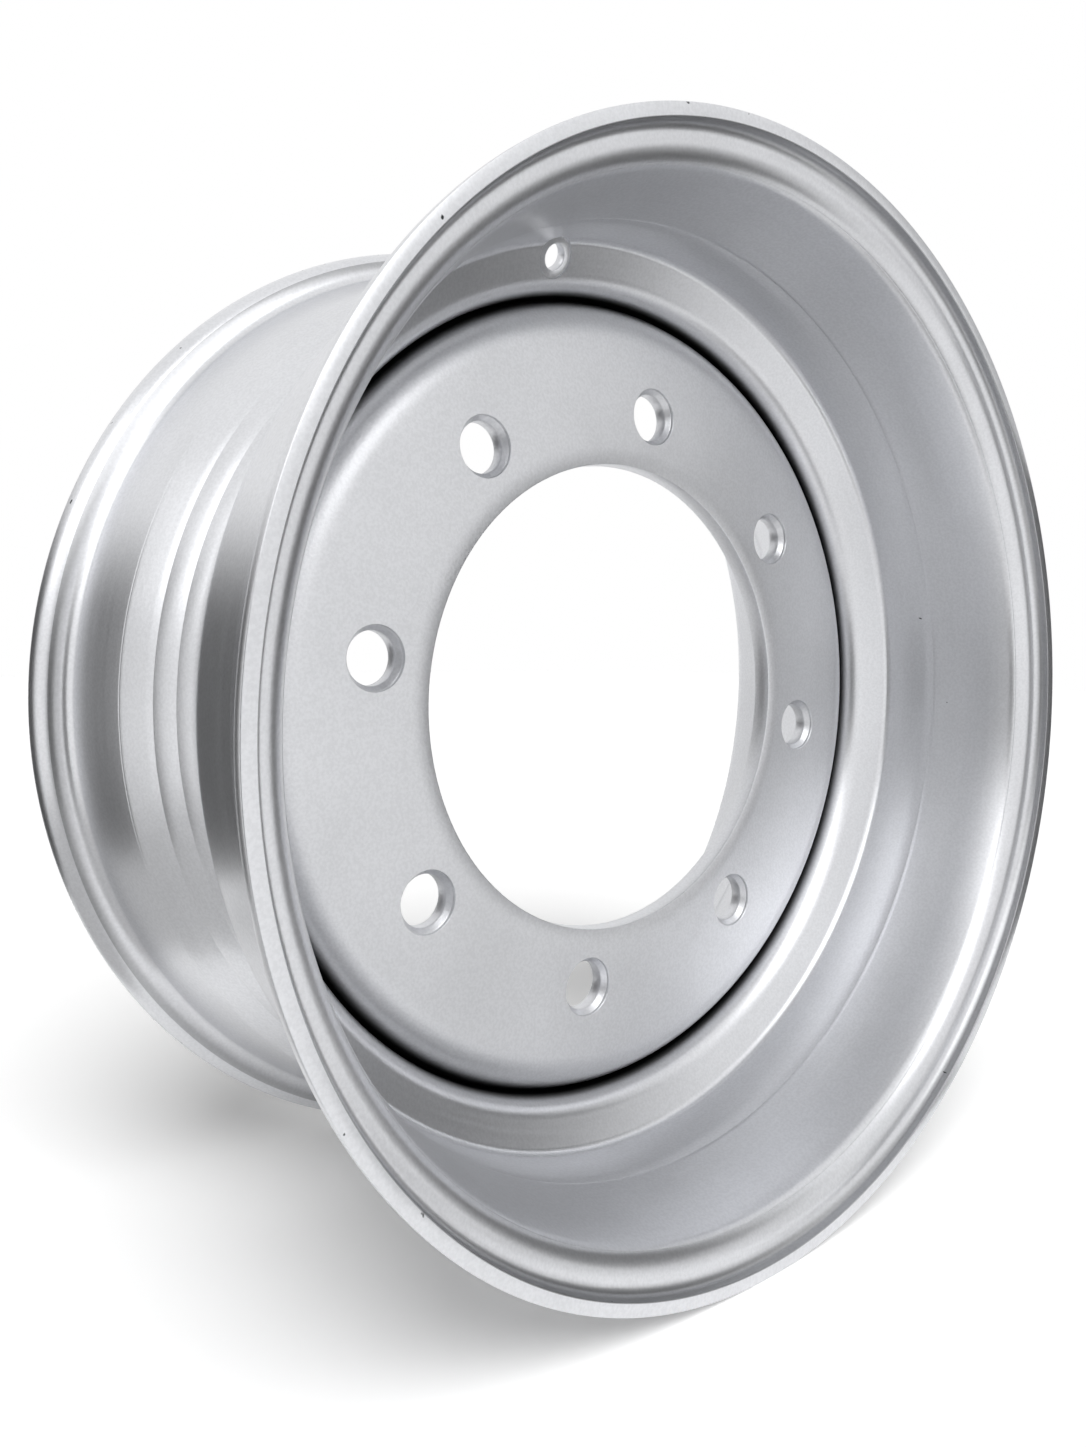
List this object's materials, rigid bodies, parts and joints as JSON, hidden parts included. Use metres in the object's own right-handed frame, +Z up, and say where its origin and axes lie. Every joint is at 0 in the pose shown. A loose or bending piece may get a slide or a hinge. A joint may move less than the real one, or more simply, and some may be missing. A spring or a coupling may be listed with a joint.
{
  "type": "wheel rim",
  "caption": "Pressed-steel disc wheel without a tyre: deep drop-centre rim with tapered bead seats, welded to a flat disc with a wide bore and a ring of seated stud holes.",
  "frame": {"origin": "centre of the centre bore in the disc's mounting face, which is the centre of the stud circle", "axes": "the wheel turns about Y; the outboard side looks to -Y and the hub is on the +Y side; +Z up, with the wheel upright"},
  "size_m": [0.4715, 0.216, 0.4714],
  "materials": {
    "painted_rim": "satin silver paint over rolled steel",
    "painted_disc": "satin silver paint over pressed steel, fine grain",
    "painted_weld": "silver paint over a rippled weld bead"
  },
  "bodies": {
    "root": {"rim": "painted_rim", "disc": "painted_disc", "disc_weld": "painted_weld"}
  },
  "joints": []
}
